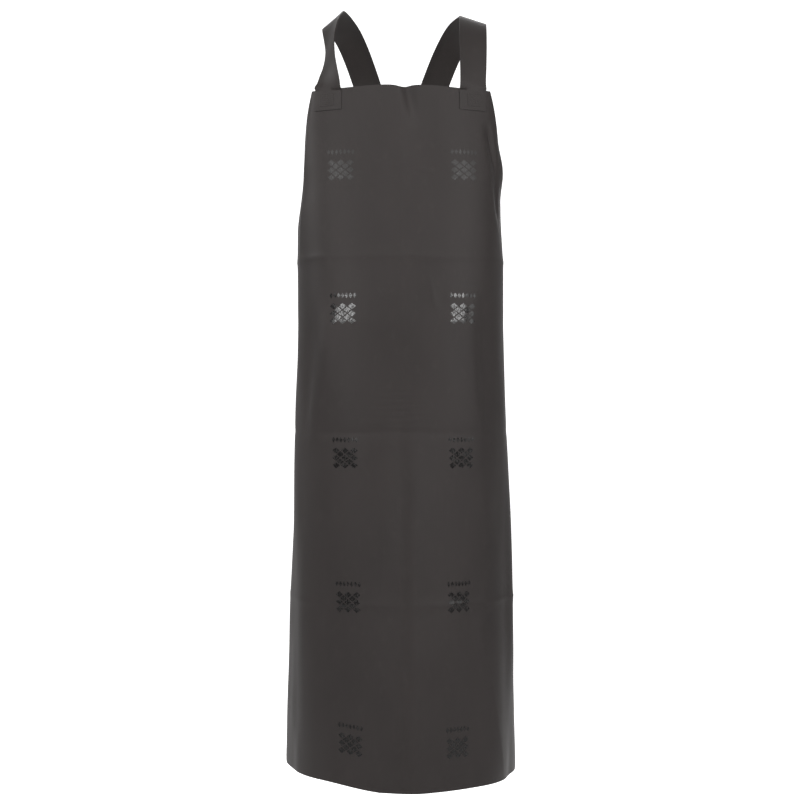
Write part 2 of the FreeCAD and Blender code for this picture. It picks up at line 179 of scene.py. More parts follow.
def soft_noise(x, y):
    """Smooth noise from -1 to 1 with features about one unit wide."""
    x, y = np.broadcast_arrays(np.asarray(x, float), np.asarray(y, float))
    column, row = np.floor(x).astype(int), np.floor(y).astype(int)
    fx, fy = x - column, y - row
    fx, fy = fx * fx * (3 - 2 * fx), fy * fy * (3 - 2 * fy)
    corner = [[NOISE_GRID[(row + j) % 64, (column + i) % 64] for i in (0, 1)] for j in (0, 1)]
    return between(between(corner[0][0], corner[0][1], fx), between(corner[1][0], corner[1][1], fx), fy)


def ridge(s, t, start, end, widths, height, sharp=False, fade=0.06):
    """A ridge or, with a negative height, a hollow along a line between two flat places."""
    share = (t - start[1]) / (end[1] - start[1])
    middle = between(start[0], end[0], share)
    width = np.where(s < middle, widths[0], widths[1])
    distance = np.abs(s - middle) / width
    profile = np.exp(-distance) if sharp else np.exp(-distance**2)
    rise = smooth(t, start[1] - fade, start[1] + fade)
    fall = 1 - smooth(t, end[1] - fade, end[1] + fade)
    return height * profile * rise * fall


# (start, end, widths to -s and +s, height, sharp, fade)
FOLDS = [
    # the pucker at the top edge over the breastbone
    ((0.002, -0.05), (0.020, 0.045), (0.009, 0.013), -0.0072, False, 0.032),
    # left and right of it the film stands on the chest
    ((-0.030, -0.05), (-0.040, 0.10), (0.040, 0.030), 0.0025, False, 0.08),
    ((0.062, -0.05), (0.070, 0.10), (0.030, 0.040), 0.0022, False, 0.08),
    # under the right strap the edge turns back, and a crease runs along the turn
    ((-0.200, -0.05), (-0.250, 0.190), (0.080, 0.048), -0.0120, False, 0.050),
    ((-0.160, 0.030), (-0.190, 0.150), (0.010, 0.020), 0.0035, True, 0.025),
    ((-0.192, 0.185), (-0.212, 0.285), (0.008, 0.030), 0.0026, True, 0.030),
    # dents at the left arm's edge
    ((0.205, 0.000), (0.235, 0.260), (0.030, 0.060), -0.0050, False, 0.060),
    ((0.160, 0.065), (0.184, 0.135), (0.012, 0.008), -0.0060, False, 0.022),
    ((0.184, 0.150), (0.200, 0.215), (0.012, 0.010), -0.0045, False, 0.022),
    ((0.215, 0.105), (0.228, 0.160), (0.022, 0.050), 0.0055, False, 0.025),
    # the upright folds of the skirt: a rounded front between two soft hollows
    ((0.016, 0.64), (0.014, 1.25), (0.032, 0.032), 0.0120, False, 0.20),
    ((-0.100, 0.70), (-0.085, 1.25), (0.045, 0.040), -0.0030, False, 0.20),
    ((0.115, 0.60), (0.130, 1.25), (0.045, 0.040), -0.0035, False, 0.20),
    # slanting band on the right of the belly and the pull towards the left hand
    ((-0.125, 0.40), (-0.165, 0.60), (0.018, 0.022), 0.0036, False, 0.06),
    ((-0.170, 0.40), (-0.185, 0.55), (0.018, 0.018), -0.0030, False, 0.05),
    ((0.150, 0.38), (0.165, 0.56), (0.020, 0.034), -0.0060, False, 0.06),
    # the flared plane at the lower left side
    ((0.150, 0.93), (0.228, 1.21), (0.110, 0.060), 0.0072, True, 0.06),
    ((0.285, 0.70), (0.290, 1.02), (0.045, 0.045), 0.0050, False, 0.14),
    # small creases
    ((0.030, 0.138), (0.062, 0.146), (0.006, 0.006), 0.0008, True, 0.003),
    ((0.050, 0.325), (0.060, 0.375), (0.003, 0.003), 0.0011, True, 0.010),
    ((-0.036, 1.165), (-0.034, 1.22), (0.004, 0.005), 0.0020, True, 0.012),
]


def hem_rise(s, t):
    """How far the film is drawn up towards its right side at the hem, and how its top edge is bowed."""
    drawn = 0.0105 * smooth(-s, 0.02, 0.15) - 0.0016 * smooth(s, 0.0, 0.05) - 0.0020
    bow = 0.0065 * (1 - smooth(np.abs(s), 0.02, 0.14)) - 0.0035 * np.exp(-((s - 0.004) / 0.012)**2)
    return drawn * smooth(t, 0.85, PANEL_LENGTH) + bow * (1 - smooth(t, 0.0, 0.12))


# (share of the length, height) of the kinks where the apron was folded away
STORAGE_CREASES = ((0.241, 0.0017), (0.492, -0.0013), (0.737, 0.0018))


def storage_crease_height(s, t):
    """The soft kinks left where the apron was folded in four, and down its middle."""
    height = np.zeros_like(s)
    for i, (share, kink) in enumerate(STORAGE_CREASES):
        wander = 0.0016 * soft_noise(s * 14 + 9 * i, 3.3 * i)
        distance = np.abs(t - share * PANEL_LENGTH - wander)
        strength = 0.65 + 0.35 * soft_noise(s * 9 + 5 * i, 7.7)
        height += kink * strength * np.exp(-distance / 0.007)
    height += 0.0005 * np.exp(-np.abs(s + 0.0006 * soft_noise(t * 20, 1.5)) / 0.008)
    return height


def belly_ripple_height(s, t):
    """Fine level ripples that gather where the film bends over the belly."""
    patch = np.exp(-((s - 0.0) / 0.040)**2 - ((t - 0.545) / 0.050)**2)
    second = np.exp(-((s - 0.120) / 0.035)**2 - ((t - 0.575) / 0.020)**2)
    phase = 2 * math.pi * (t / 0.0105 + 0.5 * soft_noise(s * 30, t * 20))
    return 0.00042 * (patch + 0.7 * second) * np.sin(phase)


def fold_height(s, t):
    """All folds, creases and ripples together, with the unevenness of hanging film."""
    s = np.asarray(s, float)
    total = storage_crease_height(s, t) + belly_ripple_height(s, t)
    for start, end, widths, height, sharp, fade in FOLDS:
        total = total + ridge(s, t, start, end, widths, height, sharp, fade)
    loose = smooth(t, 0.35, 1.15)
    total += (0.0010 + 0.0022 * loose) * soft_noise(s * 15 + 3, t * 3.2 + 11)
    total += 0.0008 * soft_noise(s * 30 + 20, t * 11 + 5)
    side = smooth(np.abs(s), 0.20, 0.27) * (1 - smooth(np.abs(s), 0.30, 0.36)) * smooth(t, 0.42, 1.0)
    total += 0.0018 * side * soft_noise(s * 26 + 40, t * 2.4 + 2)
    return total


# ---- mesh helpers ----

def film_piece(name, middle, thickness):
    """A closed sheet of film over a grid of points on its middle surface."""
    rows, columns = middle.shape[:2]
    across = np.gradient(middle, axis=1)
    down = np.gradient(middle, axis=0)
    out = unit(np.cross(down, across))
    outside, inside = middle + out * thickness / 2, middle - out * thickness / 2
    points = np.concatenate([outside.reshape(-1, 3), inside.reshape(-1, 3)])
    number = np.arange(rows * columns).reshape(rows, columns)
    other = number + rows * columns
    front = np.stack([number[:-1, :-1], number[1:, :-1], number[1:, 1:], number[:-1, 1:]], -1)
    back = np.stack([other[:-1, :-1], other[:-1, 1:], other[1:, 1:], other[1:, :-1]], -1)
    quads = [front.reshape(-1, 4), back.reshape(-1, 4)]
    for a, b in ((number[0, ::-1], other[0, ::-1]), (number[-1], other[-1]),
                 (number[:, 0], other[:, 0]), (number[::-1, -1], other[::-1, -1])):
        quads.append(np.stack([a[:-1], b[:-1], b[1:], a[1:]], -1))
    mesh = bpy.data.meshes.new(name)
    mesh.from_pydata(points.tolist(), [], np.concatenate(quads).tolist())
    mesh.polygons.foreach_set("use_smooth", [True] * len(mesh.polygons))
    sharpen_rim(mesh, rows, columns)
    piece = bpy.data.objects.new(name, mesh)
    bpy.context.collection.objects.link(piece)
    return piece


def same_way(rows, foot):
    """Rows across a strap, turned where needed to run the same way across as the foot's last row."""
    if np.dot(rows[0][-1] - rows[0][0], foot[-1][-1] - foot[-1][0]) < 0:
        return rows[:, ::-1]
    return rows


def sharpen_rim(mesh, rows, columns):
    """Keeps the cut edge of the film crisp."""
    mesh.update(calc_edges=True)
    count = rows * columns
    on_rim = np.zeros((rows, columns), bool)
    on_rim[0], on_rim[-1], on_rim[:, 0], on_rim[:, -1] = True, True, True, True
    rim = np.concatenate([on_rim.ravel()] * 2)
    ends = np.empty(len(mesh.edges) * 2, int)
    mesh.edges.foreach_get("vertices", ends)
    ends = ends.reshape(-1, 2)
    sharp = rim[ends[:, 0]] & rim[ends[:, 1]] & ((ends[:, 0] < count) == (ends[:, 1] < count))
    attribute = mesh.attributes.new("sharp_edge", "BOOLEAN", "EDGE")
    attribute.data.foreach_set("value", sharp)


def finish_piece(piece, material, replaced=(), body="apron"):
    """Gives a piece its material and its slot, and says what it rides on and replaces."""
    piece.data.materials.append(material)
    if body:
        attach(piece, body)
    if replaced:
        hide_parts(*replaced)


# ---- materials ----

def new_material(name):
    material = bpy.data.materials.new(name)
    material.use_nodes = True
    nodes, links = material.node_tree.nodes, material.node_tree.links
    return material, nodes, links, nodes["Principled BSDF"]


def math_node(nodes, links, operation, *values):
    """One sum over numbers and sockets."""
    node = nodes.new("ShaderNodeMath")
    node.operation = operation
    for socket, value in zip(node.inputs, values):
        if isinstance(value, (int, float)):
            socket.default_value = value
        else:
            links.new(value, socket)
    return node.outputs[0]


def noise_node(nodes, links, scale, detail, roughness, stretch=(1, 1, 1)):
    """Noise over the piece's own space, with scale features to a metre."""
    place = nodes.new("ShaderNodeTexCoord")
    mapping = nodes.new("ShaderNodeMapping")
    mapping.inputs["Scale"].default_value = stretch
    links.new(place.outputs["Object"], mapping.inputs["Vector"])
    node = nodes.new("ShaderNodeTexNoise")
    node.inputs["Scale"].default_value = scale
    node.inputs["Detail"].default_value = detail
    node.inputs["Roughness"].default_value = roughness
    links.new(mapping.outputs[0], node.inputs["Vector"])
    return node.outputs["Fac"]


def ramp_node(nodes, links, value, stops):
    """A colour that follows a value through stops of (position, colour)."""
    node = nodes.new("ShaderNodeValToRGB")
    ramp = node.color_ramp
    while len(ramp.elements) < len(stops):
        ramp.elements.new(0.5)
    for element, (position, color) in zip(ramp.elements, stops):
        element.position = position
        element.color = (*color, 1)
    links.new(value, node.inputs[0])
    return node.outputs[0]


def add_bump(nodes, links, shader, height, strength, distance):
    """Fine relief on the shader's surface."""
    bump = nodes.new("ShaderNodeBump")
    bump.inputs["Strength"].default_value = strength
    bump.inputs["Distance"].default_value = distance
    links.new(height, bump.inputs["Height"])
    links.new(bump.outputs[0], shader.inputs["Normal"])


def film_material(name, color):
    """Satin rubberised film: fine grain, faint clouding, dusty scuffs that are a little rougher."""
    material, nodes, links, shader = new_material(name)
    color = np.array(color)
    clouds = noise_node(nodes, links, 9.0, 4.0, 0.6, (1, 1, 0.45))
    scuffs = noise_node(nodes, links, 60.0, 5.0, 0.65, (1, 1, 0.6))
    base = ramp_node(nodes, links, clouds, [(0.3, color * 0.90), (0.7, color * 1.10)])
    dust = ramp_node(nodes, links, scuffs, [(0.55, (0, 0, 0)), (0.82, (1, 1, 1))])
    mix = nodes.new("ShaderNodeMix")
    mix.data_type = "RGBA"
    links.new(math_node(nodes, links, "MULTIPLY", dust, 0.16), mix.inputs["Factor"])
    links.new(base, mix.inputs["A"])
    mix.inputs["B"].default_value = (*(color * 2.2 + 0.01), 1)
    links.new(mix.outputs["Result"], shader.inputs["Base Color"])
    rough = math_node(nodes, links, "MULTIPLY_ADD", clouds, 0.10, 0.50)
    links.new(math_node(nodes, links, "ADD", rough, math_node(nodes, links, "MULTIPLY", dust, 0.10)),
              shader.inputs["Roughness"])
    shader.inputs["Specular IOR Level"].default_value = 0.28
    shader.inputs["Sheen Weight"].default_value = 0.02
    shader.inputs["Sheen Roughness"].default_value = 0.5
    fine = noise_node(nodes, links, 900.0, 2.0, 0.5)
    coarse = noise_node(nodes, links, 130.0, 3.0, 0.5)
    grain = math_node(nodes, links, "ADD", fine, math_node(nodes, links, "MULTIPLY", coarse, 1.6))
    add_bump(nodes, links, shader, grain, 0.35, 0.00008)
    return material


def backing_material():
    """The uncoated inner side of the film: a dull, slightly greenish fabric backing with a fine weave."""
    material, nodes, links, shader = new_material("film_backing")
    clouds = noise_node(nodes, links, 24.0, 4.0, 0.6)
    links.new(ramp_node(nodes, links, clouds, [(0.3, (0.026, 0.028, 0.024)), (0.7, (0.034, 0.036, 0.031))]),
              shader.inputs["Base Color"])
    shader.inputs["Roughness"].default_value = 0.72
    shader.inputs["Specular IOR Level"].default_value = 0.25
    shader.inputs["Sheen Weight"].default_value = 0.12
    shader.inputs["Sheen Roughness"].default_value = 0.6
    across = noise_node(nodes, links, 700.0, 1.0, 0.5, (1.0, 1.0, 0.12))
    down = noise_node(nodes, links, 700.0, 1.0, 0.5, (0.12, 0.12, 1.0))
    add_bump(nodes, links, shader, math_node(nodes, links, "ADD", across, down), 0.5, 0.0001)
    return material


def gloss_material(name, gloss_from, worn_from):
    """The clear gloss ink of the printed marks, rubbed away where the wear noise passes worn_from."""
    material, nodes, links, shader = new_material(name)
    wear = noise_node(nodes, links, 420.0, 4.0, 0.7, (1, 1, 0.55))
    colors = [(gloss_from + 0.08, (0.0085, 0.0075, 0.0075)), (worn_from, (0.026, 0.023, 0.022))]
    roughnesses = [(gloss_from, (0.13, 0.13, 0.13)), (worn_from, (0.45, 0.45, 0.45))]
    links.new(ramp_node(nodes, links, wear, colors), shader.inputs["Base Color"])
    links.new(ramp_node(nodes, links, wear, roughnesses), shader.inputs["Roughness"])
    shader.inputs["Specular IOR Level"].default_value = 0.42
    add_bump(nodes, links, shader, wear, 0.25, 0.00006)
    return material


def buckle_material():
    """Moulded black acetal with a fine spark-eroded skin."""
    material, nodes, links, shader = new_material("buckle_acetal")
    clouds = noise_node(nodes, links, 70.0, 4.0, 0.6)
    links.new(ramp_node(nodes, links, clouds, [(0.3, (0.010, 0.010, 0.011)), (0.75, (0.018, 0.018, 0.019))]),
              shader.inputs["Base Color"])
    rough = math_node(nodes, links, "MULTIPLY_ADD", clouds, 0.18, 0.34)
    links.new(rough, shader.inputs["Roughness"])
    add_bump(nodes, links, shader, noise_node(nodes, links, 2200.0, 2.0, 0.5), 0.4, 0.00005)
    return material


# ---- the panel ----

PANEL_STEPS_ACROSS, CORNER_STEPS = 180, 14
ROW_SPACING = 0.004


def panel_rows():
    """The distances below the top edge that the panel has rows at, closer where its corners are rounded."""
    corner_at = PANEL_LENGTH - HEM_CORNER_RADIUS
    straight = list(np.linspace(0, corner_at, round(corner_at / ROW_SPACING) + 1))
    angles = np.linspace(0, math.pi / 2, CORNER_STEPS + 1)[1:]
    turn = [corner_at + HEM_CORNER_RADIUS * math.sin(a) for a in angles]
    return straight + turn


def make_panel(material, inside):
    """The panel: one sheet of film with its folds, coated outside and fabric inside."""
    rows = []
    for t in panel_rows():
        s = np.linspace(-1, 1, PANEL_STEPS_ACROSS + 1) * half_span(t)
        rows.append(worn_row(s, t))
    panel = film_piece("apron_film", np.array(rows), FILM)
    finish_piece(panel, material, ["apron_panel"])
    panel.data.materials.append(inside)
    side_of_face = np.zeros(len(panel.data.polygons), int)
    quads_a_side = (len(rows) - 1) * PANEL_STEPS_ACROSS
    side_of_face[quads_a_side:2 * quads_a_side] = 1
    panel.data.polygons.foreach_set("material_index", side_of_face)


# ---- printed marks ----

MARK_ROWS = 5
MARK_FIRST_T, MARK_STEP_T = 0.140, 0.2468
# across the film, at the first and the last row: the film's folds draw the right-hand column in
MARK_COLUMNS_S = ((-0.103, -0.090), (0.110, 0.104))
MARK_BLOCK_WIDTH, MARK_BLOCK_HEIGHT, MARK_BLOCK_ROWS = 0.050, 0.038, 5
MARK_LINE_ABOVE, MARK_LINE_LOZENGES = 0.031, 7      # a line of small lozenges above the block
LOZENGE_FILL, LOZENGE_STEPS = 0.84, 3               # how much of its cell it covers, and its grid
INK_LIFT = FILM / 2 + 0.00025


def lozenge(points, faces, centre_s, centre_t, half_width, half_height):
    """One small lozenge of ink, in a grid fine enough to lie on the film."""
    start = len(points)
    for i in range(LOZENGE_STEPS + 1):
        for j in range(LOZENGE_STEPS + 1):
            a, b = i / LOZENGE_STEPS, j / LOZENGE_STEPS
            s = centre_s + (a - b) * half_width
            t = centre_t + (a + b - 1) * half_height
            points.append(worn_point(s, t, INK_LIFT, True))
    for i in range(LOZENGE_STEPS):
        for j in range(LOZENGE_STEPS):
            k = start + i * (LOZENGE_STEPS + 1) + j
            faces.append((k, k + LOZENGE_STEPS + 1, k + LOZENGE_STEPS + 2, k + 1))


def mark_cells():
    """Centres and half sizes of the lozenges of one mark: a block in staggered rows under a line."""
    half_width, half_height = MARK_BLOCK_WIDTH / 6, MARK_BLOCK_HEIGHT / 6
    cells = []
    for row in range(MARK_BLOCK_ROWS):
        count = 3 - row % 2
        down = (row - MARK_BLOCK_ROWS // 2) * half_height
        for i in range(count):
            cells.append(((2 * i + 1 - count) * half_width, down, half_width, half_height))
    line_half_width = MARK_BLOCK_WIDTH / (2 * MARK_LINE_LOZENGES)
    for i in range(MARK_LINE_LOZENGES):
        cells.append(((2 * i + 1 - MARK_LINE_LOZENGES) * line_half_width, -MARK_LINE_ABOVE,
                      line_half_width, 1.6 * line_half_width))
    return cells


def make_marks(material, top_row_ink):
    """A plain lozenge pattern, printed in two columns of five; the top row takes a second ink that is rough
    and film-coloured over more of its area, so that row looks duller and lighter.
    """
    points, faces, top_row = [], [], []
    for first_s, last_s in MARK_COLUMNS_S:
        for row in range(MARK_ROWS):
            middle_s = between(first_s, last_s, row / (MARK_ROWS - 1))
            middle_t = MARK_FIRST_T + row * MARK_STEP_T
            for across, down, half_width, half_height in mark_cells():
                lozenge(points, faces, middle_s + across, middle_t + down,
                        half_width * LOZENGE_FILL, half_height * LOZENGE_FILL)
            top_row += [int(row == 0)] * (len(faces) - len(top_row))
    mesh = bpy.data.meshes.new("printed_marks")
    mesh.from_pydata([tuple(p) for p in points], [], faces)
    mesh.polygons.foreach_set("use_smooth", [True] * len(mesh.polygons))
    marks = bpy.data.objects.new("printed_marks", mesh)
    bpy.context.collection.objects.link(marks)
    finish_piece(marks, material)
    mesh.materials.append(top_row_ink)
    mesh.polygons.foreach_set("material_index", top_row)


# ---- straps ----

STRAP_STEPS_ACROSS = 10
ACROSS = np.linspace(-0.5, 0.5, STRAP_STEPS_ACROSS + 1) * STRAP_WIDTH


def strap_flat_s():
    """The flat place across the bib that lies at the strap's x."""
    s = 0.0
    while worn_point(s, 0)[0] < STRAP_X_AT_BIB:
        s += 0.0005
    return s


def spline_points(knots, samples_per_knot=8):
    """A smooth curve through knots (centripetal Catmull-Rom), with every knot's values carried along."""
    knots = np.asarray(knots, float)
    padded = np.vstack([2 * knots[0] - knots[1], knots, 2 * knots[-1] - knots[-2]])
    curve = []
    for i in range(1, len(padded) - 2):
        p = padded[i - 1:i + 3]
        gaps = np.sqrt(np.linalg.norm(np.diff(p[:, :3], axis=0), axis=1)) + 1e-9
        k = np.concatenate(([0], np.cumsum(gaps)))
        for x in np.linspace(k[1], k[2], samples_per_knot, endpoint=False):
            a = [p[j] * (k[j + 1] - x) / (k[j + 1] - k[j]) + p[j + 1] * (x - k[j]) / (k[j + 1] - k[j])
                 for j in range(3)]
            b = [a[j] * (k[j + 2] - x) / (k[j + 2] - k[j]) + a[j + 1] * (x - k[j]) / (k[j + 2] - k[j])
                 for j in range(2)]
            curve.append(b[0] * (k[2] - x) / (k[2] - k[1]) + b[1] * (x - k[1]) / (k[2] - k[1]))
    curve.append(knots[-1])
    return np.array(curve)


def strap_rows(knots):
    """Rows of points across a strap that runs through knots of (centre, normal)."""
    curve = spline_points([np.concatenate(knot) for knot in knots])
    centre, normal = curve[:, :3], curve[:, 3:]
    travel = unit(np.gradient(centre, axis=0))
    across = unit(np.cross(travel, normal))
    return centre[:, None, :] + across[:, None, :] * ACROSS[None, :, None]


def turn_about(axis, degrees, v):
    """Rodrigues' rotation of v about a unit axis."""
    a = math.radians(degrees)
    return (v * math.cos(a) + np.cross(axis, v) * math.sin(a)
            + axis * np.dot(axis, v) * (1 - math.cos(a)))


def arch_knot(side, degrees, twist):
    """Centre and normal of a strap on its arch over the shoulder: -90 is at the bib and 90 on the back."""
    a = math.radians(degrees)
    depth = ARCH_BACK_DEPTH if degrees > 0 else ARCH_FRONT_DEPTH
    end_x = ARCH_END_X if degrees > 0 else STRAP_X_AT_BIB
    x = between(SHOULDER_X[side], end_x, abs(degrees) / 90)
    centre = np.array((side * x, depth * math.sin(a), ARCH_HEIGHT * (math.cos(a) - 1)))
    slope = math.radians(SHOULDER_SLOPE) * (1 - max(0.0, degrees / 90))
    upright = unit(np.array((0, math.sin(a) / depth, math.cos(a) / ARCH_HEIGHT)))
    normal = upright * math.cos(slope) + np.array((side * math.sin(slope), 0, 0))
    travel = unit(np.array((0, math.cos(a) * depth, -math.sin(a) * ARCH_HEIGHT)))
    return centre, turn_about(travel, side * twist, normal)


def tab_foot_places(side):
    """Flat places along the middle of the tab's foot, from its cut end to where it leaves the panel."""
    lean = math.radians(TAB_FOOT_LEAN)
    s, t = TAB_FOOT_AT
    return [(side * (s - down * math.sin(lean)), t + down * math.cos(lean))
            for down in (TAB_FOOT_LENGTH, TAB_FOOT_LENGTH / 2, 0.0)]


def buckle_line(side):
    """The origin of the buckle line and its directions across, out and up, as in the CAD model."""
    s, t = tab_foot_places(side)[-1]
    foot = worn_point(s, t, CAD_FILM / 2 + CAD_WELD_LIFT + CAD_STRAP_FILM / 2)
    up = unit(CROSSING - foot)
    normal = RUN_NORMAL * np.array((side, 1, 1))
    out = unit(normal - up * np.dot(normal, up))
    return foot + up * MOUTH_FROM_FOOT, np.cross(out, up), out, up


def on_line(side, y, z):
    """The point y out from the buckle line and z up along it."""
    origin, _, out, up = buckle_line(side)
    return origin + out * y + up * z


def weld_rows(side, strap_s):
    """Rows of the strap's foot, which lies on the bib, from its cut end up to the bib's top edge."""
    return [worn_row(side * strap_s + side * ACROSS, t, WELD_LIFT)
            for t in np.linspace(WELD_LENGTH, 0, 10)]


def make_shoulder_strap(name, side, material):
    """A strap: its foot on the bib, the arch over the shoulder, the crossing and its straight run."""
    strap_s = strap_flat_s()
    foot = np.array(weld_rows(side, strap_s))
    leave = worn_point(side * strap_s, 0, WELD_LIFT, True)
    outward = leave - worn_point(side * strap_s, 0, 0, True)
    knots = [(leave, unit(outward))]
    for degrees, twist in STRAP_TWISTS[side]:
        knots.append(arch_knot(side, degrees, twist))
    lift = np.array((0, CROSSING_LIFT if side > 0 else 0.0, 0))
    out_of_back = np.array((0, 1.0, 0))
    run_top = on_line(-side, -LOOP_RADIUS, RUN_END)
    for centre in (arch_knot(side, 90, 0.0)[0], CROSSING, between(CROSSING, run_top, 0.6)):
        knots.append((centre + lift, out_of_back))
    run_out = buckle_line(-side)[2]
    for z in RUN_KNOTS:
        knots.append((on_line(-side, -LOOP_RADIUS, z), run_out))
    free = same_way(strap_rows(knots)[1:], foot)
    strap = film_piece(name + "_strap", np.concatenate([foot, free]), STRAP_FILM)
    finish_piece(strap, material, [name + "_shoulder_strap"])


def profile_rows(side, profile):
    """Rows of film that follows a profile of (y, z) places on the buckle line."""
    origin, across, out, up = buckle_line(side)
    return np.array([origin + out * y + up * z + ACROSS[:, None] * across for y, z in profile])


def arc(y, z, radius, start, end, steps=10):
    """Places (y, z) round a bar, between two angles in degrees from straight up."""
    return [(y + radius * math.sin(a), z + radius * math.cos(a))
            for a in np.radians(np.linspace(start, end, steps))]


def make_strap_end(name, side, material):
    """The strap from its loose run round the plug's bar, and the return to the adjuster, in two pieces."""
    down = [(-LOOP_RADIUS, z) for z in np.linspace(LOOSE_RUN_START, PLUG_BAR_Z + 0.002, 16)]
    turn = arc(0, PLUG_BAR_Z, LOOP_RADIUS, -90, -270)
    rise_y = CENTRE_BAR_Y + CENTRE_LOOP_RADIUS
    share = (RETURN_SPLIT_Z - PLUG_BAR_Z) / (ADJUSTER_Z - PLUG_BAR_Z)
    split_y = between(LOOP_RADIUS, rise_y, share)
    up_lower = [(between(LOOP_RADIUS, split_y, k), between(PLUG_BAR_Z, RETURN_SPLIT_Z, k))
                for k in np.linspace(0, 1, 12)[1:]]
    lower_rows = profile_rows(side, down + turn + up_lower)
    lower = film_piece(name + "_strap_end_lower", lower_rows, LOOP_FILM)
    finish_piece(lower, material, [name + "_strap_loop"], body=None)
    on_line(side, 0, RETURN_SPLIT_Z)
    on_line(side, 0, PLUG_BAR_Z + 0.004)
    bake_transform(lower)
    up_upper = [(between(split_y, rise_y, k), between(RETURN_SPLIT_Z, ADJUSTER_Z, k))
                for k in np.linspace(0, 1, 10)]
    wrap = arc(CENTRE_BAR_Y, ADJUSTER_Z, CENTRE_LOOP_RADIUS, 90, -200, 16)
    tail = [(CENTRE_BAR_Y + 0.0010, ADJUSTER_Z - 0.006), (rise_y - 0.0017, ADJUSTER_Z - 0.012),
            (rise_y - 0.0018, ADJUSTER_Z - 0.026)]
    upper_rows = profile_rows(side, up_upper + wrap[1:] + tail)
    upper = film_piece(name + "_strap_end_upper", upper_rows, LOOP_FILM)
    finish_piece(upper, material, body=None)
    on_line(side, 0, RETURN_SPLIT_Z)
    on_line(side, 0, ADJUSTER_Z - 0.015)
    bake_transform(upper)


def make_side_tab(name, side, material):
    """The doubled film tab: its foot on the panel, then up to the socket's bar and round it."""
    lean = math.radians(TAB_FOOT_LEAN)
    rows = []
    for down in np.linspace(TAB_FOOT_LENGTH, 0, 14):
        s = TAB_FOOT_AT[0] - down * math.sin(lean) + ACROSS * math.cos(lean)
        t = TAB_FOOT_AT[1] + down * math.cos(lean) + ACROSS * math.sin(lean)
        rows.append([worn_point(side * si, ti, TAB_LIFT, True) for si, ti in zip(s, t)])
    foot = np.array(rows)
    out = buckle_line(side)[2]
    leave_s, leave_t = tab_foot_places(side)[-1]
    leave = worn_point(leave_s, leave_t, TAB_LIFT, True)
    surface_out = unit(leave - worn_point(leave_s, leave_t, 0, True))
    knots = [(leave, surface_out), (on_line(side, -0.0005, SOCKET_BAR_Z - 0.010), out),
             (on_line(side, 0.0012, SOCKET_BAR_Z - LOOP_RADIUS - 0.002), out)]
    rise = same_way(strap_rows(knots)[1:], foot)
    loop = same_way(profile_rows(side, arc(0.0, SOCKET_BAR_Z, LOOP_RADIUS, 150, -165, 20)), foot)
    tab = film_piece(name + "_tab", np.concatenate([foot, rise, loop]), LOOP_FILM)
    finish_piece(tab, material, [name + "_side_tab"])


# ---- patches and weld pads ----

PATCH_MARGIN, PATCH_AIR = 0.004, 0.0003
WAIST_PATCH_S = 0.325


def make_patch(name, middle_s, top, bottom, material, node):
    """A backing patch on the inside of the film, which replaces a node of the CAD model."""
    half_width = STRAP_WIDTH / 2 + PATCH_MARGIN
    s = np.linspace(-half_width, half_width, 16) + middle_s
    rows = [worn_row(s, t, -FILM - PATCH_AIR) for t in np.linspace(top, bottom, 14)]
    patch = film_piece(name, np.array(rows), FILM)
    finish_piece(patch, material, [node])


PAD_WIDTH, PAD_HEIGHT, PAD_LIFT = 0.026, 0.021, 0.0002
PAD_TOP, PAD_ASIDE = 0.008, 0.002           # from the bib's top edge, and from the strap's middle
PAD_FILM, PAD_RELIEF = 0.0003, 0.00035
PAD_CELLS_ACROSS, PAD_CELLS_DOWN, STEPS_A_CELL = 8, 6, 6


def make_weld_pad(name, side, material):
    """The grid that the welding electrode pressed into the strap's foot."""
    middle_s = side * strap_flat_s() + side * PAD_ASIDE
    across = np.linspace(0, 1, PAD_CELLS_ACROSS * STEPS_A_CELL + 1)
    waves_across = np.abs(np.sin(math.pi * PAD_CELLS_ACROSS * across))
    rows = []
    for down in np.linspace(0, 1, PAD_CELLS_DOWN * STEPS_A_CELL + 1):
        cells = waves_across * abs(math.sin(math.pi * PAD_CELLS_DOWN * down))
        lift = WELD_LIFT + STRAP_FILM / 2 + PAD_LIFT + PAD_RELIEF * np.sqrt(cells)
        rows.append(worn_row(middle_s + (across - 0.5) * PAD_WIDTH, PAD_TOP + down * PAD_HEIGHT, lift))
    pad = film_piece(name + "_weld_pad", np.array(rows), PAD_FILM)
    finish_piece(pad, material)


# ---- stage, light and camera ----

CAMERA_DISTANCE = 3.10      # from the front of the apron
CAMERA_X, CAMERA_Z = -0.0008, -0.6756
FRONT_Y = PANEL_LOW[1]
VIEW_WIDTH = 1.3576         # what the image spans at the front of the apron
FLOOR_Z = PANEL_LOW[2] - 0.35       # the hem hangs at shin height
LIT_WEDGE_TIP = 3.27                # the lit part of the paper widens from this far in front of the apron
PALE = 0.62                         # how pale the rest of the paper and the room look
ROOM_LIGHT = 0.21                   # how strongly the room around the paper lights the apron
APRON_MIDDLE = np.array((0, 0, -0.65))


def make_camera():
    """The camera, level and straight in front of the apron."""
    data = bpy.data.cameras.new("camera")
    data.sensor_width = 36
    data.lens = 36 * CAMERA_DISTANCE / VIEW_WIDTH
    camera = bpy.data.objects.new("camera", data)
    camera.location = (CAMERA_X, FRONT_Y - CAMERA_DISTANCE, CAMERA_Z)
    camera.rotation_euler = (math.radians(90), 0, 0)
    bpy.context.collection.objects.link(camera)
    bpy.context.scene.camera = camera


